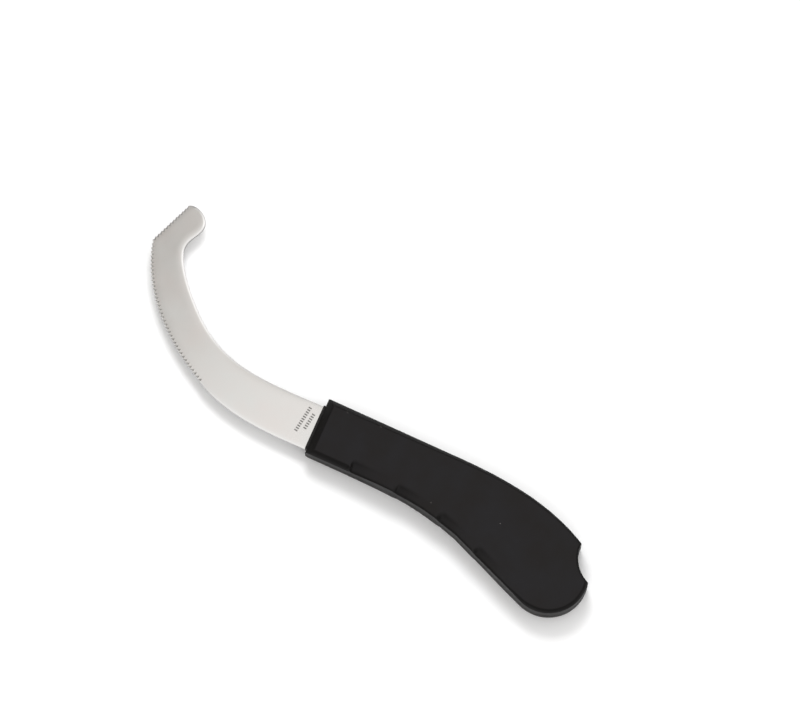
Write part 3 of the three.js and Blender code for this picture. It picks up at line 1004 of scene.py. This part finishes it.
def painted_ground_tone(nodes):
    """The tone of the ground faces: painted light on them, and painted shade in the front edge's gullets,
    beyond the hook's corner.
    """
    parts = nodes.add("ShaderNodeSeparateXYZ")
    nodes.feed(parts.inputs[0], nodes.place)
    at_front = nodes.math("GREATER_THAN", parts.outputs[1], (HOOK_CORNER[1] + PLAN_TO_ROW.y) * MM)
    return nodes.mix(at_front, GROUND_STEEL_PAINTED_LIGHT, GROUND_STEEL_PAINTED_SHADE)


def blade_steel():
    """Satin polished stainless steel: fine lines, soft clouding, painted light on the roll-offs, painted
    light and shade on the ground faces, and an etched mark.
    """
    nodes = Nodes("satin_blade_steel")
    lines = nodes.noise(LINE_SIZE, LINE_DETAIL, nodes.mapped(LINE_STRETCH, LINE_TURN))
    clouds = nodes.noise(CLOUD_SIZE)
    mark = stroke_rows(nodes, MARK_ROWS)
    ground = nodes.tilted(*GROUND_ANGLES)
    colour = nodes.mix(nodes.between(clouds, 0, 1), CLOUD_DARK, CLOUD_LIGHT)
    tint = nodes.mix(nodes.between(nodes.noise(TINT_SIZE), 0, 1), WARM_TINT, COOL_TINT)
    colour = nodes.multiplied(colour, tint)
    # painted light on the slightly tilted roll-off faces
    colour = nodes.mix(nodes.tilted(*LIT_ROLL_ANGLES), colour, ROLLED_STEEL_PAINTED_LIGHT)
    colour = nodes.mix(nodes.math("MULTIPLY", mark, ETCH_SHARE), colour, ETCHED_STEEL)
    # painted light on the ground faces, painted shade in the front gullets
    colour = nodes.mix(ground, colour, painted_ground_tone(nodes))
    rough = nodes.math(
        "ADD", nodes.between(clouds, *CLOUD_ROUGHNESS), nodes.between(lines, *LINE_ROUGHNESS),
    )
    rough = nodes.math("ADD", rough, nodes.math("MULTIPLY", mark, ETCH_ROUGHNESS))
    rough = nodes.math("ADD", rough, nodes.math("MULTIPLY", ground, GROUND_ROUGHNESS))
    normal = nodes.bump(clouds, CLOUD_HEIGHT, strength=CLOUD_STRENGTH)
    normal = nodes.bump(lines, LINE_HEIGHT, normal, strength=LINE_STRENGTH)
    return nodes.set(Base_Color=colour, Metallic=1.0, Roughness=rough, Normal=normal)


def turned_steel():
    """Plain turned steel, with rings left by the tool."""
    nodes = Nodes("turned_pin_steel")
    rings = nodes.noise(RING_SIZE, RING_DETAIL, nodes.mapped(RING_STRETCH))
    clouds = nodes.noise(PIN_CLOUD_SIZE)
    colour = nodes.mix(nodes.between(clouds, 0, 1), PIN_DARK, PIN_LIGHT)
    rough = nodes.math(
        "ADD", nodes.between(rings, *RING_ROUGHNESS), nodes.between(clouds, *PIN_CLOUD_ROUGHNESS),
    )
    normal = nodes.bump(rings, RING_HEIGHT, strength=RING_STRENGTH)
    return nodes.set(Base_Color=colour, Metallic=1.0, Roughness=rough, Normal=normal)


def floor_paint():
    """Plain pale paint."""
    nodes = Nodes("pale_floor")
    tone = nodes.mix(nodes.noise(FLOOR_CLOUD_SIZE), FLOOR_DARK, FLOOR_LIGHT)
    return nodes.set(
        Base_Color=tone, Roughness=FLOOR_ROUGHNESS, Specular_IOR_Level=FLOOR_SPECULAR,
    )


# ---------------------------------------------------------------- stage

VIEW_TURN = math.radians(23.75)  # between the picture's right and +X
VIEW_TILT = math.radians(11.0)  # of the camera from straight above
VIEW_CENTRE = (17.6, 38.3, 0.0)  # in the plan's frame
VIEW_WIDTH = 0.3019  # seen at that centre, in metres
VIEW_DISTANCE = 2.6
VIEW_END = 20.0
SENSOR = 36.0

# Soft boxes: place to the right, ahead and up, size, turn of a box that faces straight down, radiance,
# and whether shiny surfaces mirror it
KEY = ((-0.03, 0.45, 0.74), (0.34, 0.28), 0, 11.8, False)
FILL = ((0.1, -0.6, 0.45), (0.6, 0.4), 0, 0.75, False)
OVERHEAD = ((0.177, -0.117, 0.5), (0.7, 0.7), 42, 0.60, True)
RIM = ((0.263, 0.313, 0.63), (0.4, 0.4), 0, 0.45, True)
HORIZON = 0.2  # the dome's strength at its rim
ZENITH = 0.875  # and overhead
DOME_TINT = (1.0, 0.972, 0.94, 1)
OVERHEAD_TINT = (0.96, 0.975, 1.0)  # of the overhead box's light

RIGHT = Vector((math.cos(VIEW_TURN), math.sin(VIEW_TURN), 0))
AHEAD = Vector((-math.sin(VIEW_TURN), math.cos(VIEW_TURN), 0))
UP = Vector((0, 0, 1))


def camera():
    """A long lens that looks down on the knife from the near side."""
    data = bpy.data.cameras.new("camera")
    data.sensor_width = SENSOR
    data.lens = SENSOR * VIEW_DISTANCE / VIEW_WIDTH
    data.clip_end = VIEW_END
    eye = bpy.data.objects.new("camera", data)
    bpy.context.scene.collection.objects.link(eye)
    back = UP * math.cos(VIEW_TILT) - AHEAD * math.sin(VIEW_TILT)
    top = AHEAD * math.cos(VIEW_TILT) + UP * math.sin(VIEW_TILT)
    centre = (Vector(VIEW_CENTRE) + PLAN_TO_ROW) * MM
    turn = Matrix((RIGHT, top, back)).transposed().to_4x4()
    eye.matrix_world = Matrix.Translation(centre + back * VIEW_DISTANCE) @ turn
    bpy.context.scene.camera = eye


def softbox(name, place, size, turn, radiance, mirrored_too):
    """A rectangular area light that faces the knife, or straight down if it is turned."""
    data = bpy.data.lights.new(name, "AREA")
    data.shape = "RECTANGLE"
    data.size, data.size_y = size
    data.energy = radiance * math.pi * size[0] * size[1]
    lamp = bpy.data.objects.new(name, data)
    bpy.context.scene.collection.objects.link(lamp)
    across, ahead, height = place
    spot = RIGHT * across + AHEAD * ahead + UP * height
    back = UP if turn else spot.normalized()
    side = Matrix.Rotation(math.radians(turn), 3, "Z") @ RIGHT
    side = (side - back * side.dot(back)).normalized()
    axes = Matrix((side, back.cross(side), back)).transposed().to_4x4()
    lamp.matrix_world = Matrix.Translation(spot) @ axes
    lamp.visible_glossy = mirrored_too
    return data


def floor():
    """A plain square of floor under the knife."""
    signs = ((-1, -1), (1, -1), (1, 1), (-1, 1))
    corners = [(x * FLOOR_HALF, y * FLOOR_HALF, 0) for x, y in signs]
    mesh = bpy.data.meshes.new("floor")
    mesh.from_pydata(corners, [], [range(len(corners))])
    ground = new_piece("floor", mesh)
    mesh.materials.append(floor_paint())


def world():
    """A pale dome, dimmer towards the horizon."""
    surroundings = bpy.data.worlds.new("dome")
    bpy.context.scene.world = surroundings
    surroundings.use_nodes = True
    tree = surroundings.node_tree
    place = tree.nodes.new("ShaderNodeTexCoord")
    parts = tree.nodes.new("ShaderNodeSeparateXYZ")
    ramp = tree.nodes.new("ShaderNodeMapRange")
    tree.links.new(place.outputs["Generated"], parts.inputs[0])
    tree.links.new(parts.outputs[2], ramp.inputs["Value"])
    ramp.inputs["To Min"].default_value = HORIZON
    ramp.inputs["To Max"].default_value = ZENITH
    tree.links.new(ramp.outputs[0], tree.nodes["Background"].inputs["Strength"])
    tree.nodes["Background"].inputs["Color"].default_value = DOME_TINT


def stage():
    """The camera, the floor and the light."""
    camera()
    floor()
    world()
    softbox("key", *KEY)
    softbox("overhead", *OVERHEAD).color = OVERHEAD_TINT
    softbox("rim", *RIM)
    softbox("fill", *FILL)
    view = bpy.context.scene.view_settings
    view.view_transform = "Standard"
    view.look = "None"


# ---------------------------------------------------------------- the knife

def build():
    """Every piece of the knife, with its material and the node it stands for."""
    stretches = handle_outline()
    upper = upper_shell(stretches)
    lower = mirrored("shell_lower_moulding", upper)
    moulded = plastic("grained_black_moulding", PANEL_DARK, PANEL_LIGHT, PANEL_ROUGHNESS, PANEL_GRAIN)
    trim = plastic("smooth_black_moulding", TRIM_DARK, TRIM_LIGHT, TRIM_ROUGHNESS, TRIM_GRAIN)
    for piece, node in ((upper, "handle_shell_upper"), (lower, "handle_shell_lower")):
        shade(piece, MOULDING_SHARP)
        finish_piece(piece, moulded, "handle_plastic", node)
    steel = blade()
    shade(steel, BLADE_SHARP)
    finish_piece(steel, blade_steel(), "blade_steel", "blade")
    trim_piece = collar()
    shade(trim_piece, MOULDING_SHARP)
    finish_piece(trim_piece, trim, "collar_plastic", "blade_collar")
    pin_steel = turned_steel()
    for node, x in PINS.items():
        pin = turned_pin(node.replace("tang_pin", "turned_pin"), (x, TANG_Y), PIN_RADIUS)
        shade(pin, MOULDING_SHARP)
        finish_piece(pin, pin_steel, "pin_steel", node)
    dowel = turned_pin("moulded_dowel", DOWEL_CENTRE, DOWEL_RADIUS)
    shade(dowel, MOULDING_SHARP)
    finish_piece(dowel, moulded, "handle_plastic", "shell_dowel_rear")


build()
stage()
